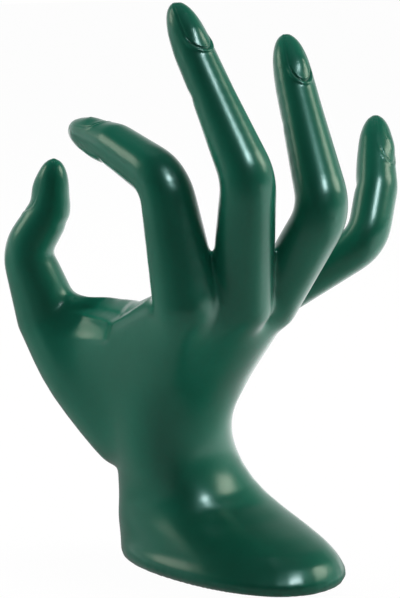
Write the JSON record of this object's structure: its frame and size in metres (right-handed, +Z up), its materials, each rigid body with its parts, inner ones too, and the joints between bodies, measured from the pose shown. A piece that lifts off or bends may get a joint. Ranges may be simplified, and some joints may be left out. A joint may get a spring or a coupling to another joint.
{
  "type": "hand jewelry stand",
  "caption": "Free-standing hand-shaped jewelry stand: raised fingers carry rings, and thumb and index finger form an open ring that holds chains and bangles.",
  "frame": {"origin": "middle of the foot's outline, on the surface that the stand rests on", "axes": "+Z up, +X where the back of the hand faces, +Y from the thumb side to the little finger side"},
  "size_m": [0.1032, 0.1017, 0.1684],
  "materials": {
    "lacquered_resin": "high-gloss dark green lacquer on cast resin",
    "armature_steel": "drawn wire",
    "ballast_iron": "as cast",
    "plate_plastic": "matte",
    "pad_felt": "felt"
  },
  "bodies": {
    "root": {"hand_casting": "lacquered_resin", "thumb_wire": "armature_steel", "index_finger_wire": "armature_steel", "middle_finger_wire": "armature_steel", "ring_finger_wire": "armature_steel", "little_finger_wire": "armature_steel", "ballast_weight": "ballast_iron", "base_plate": "plate_plastic", "base_pad": "pad_felt"}
  },
  "joints": []
}
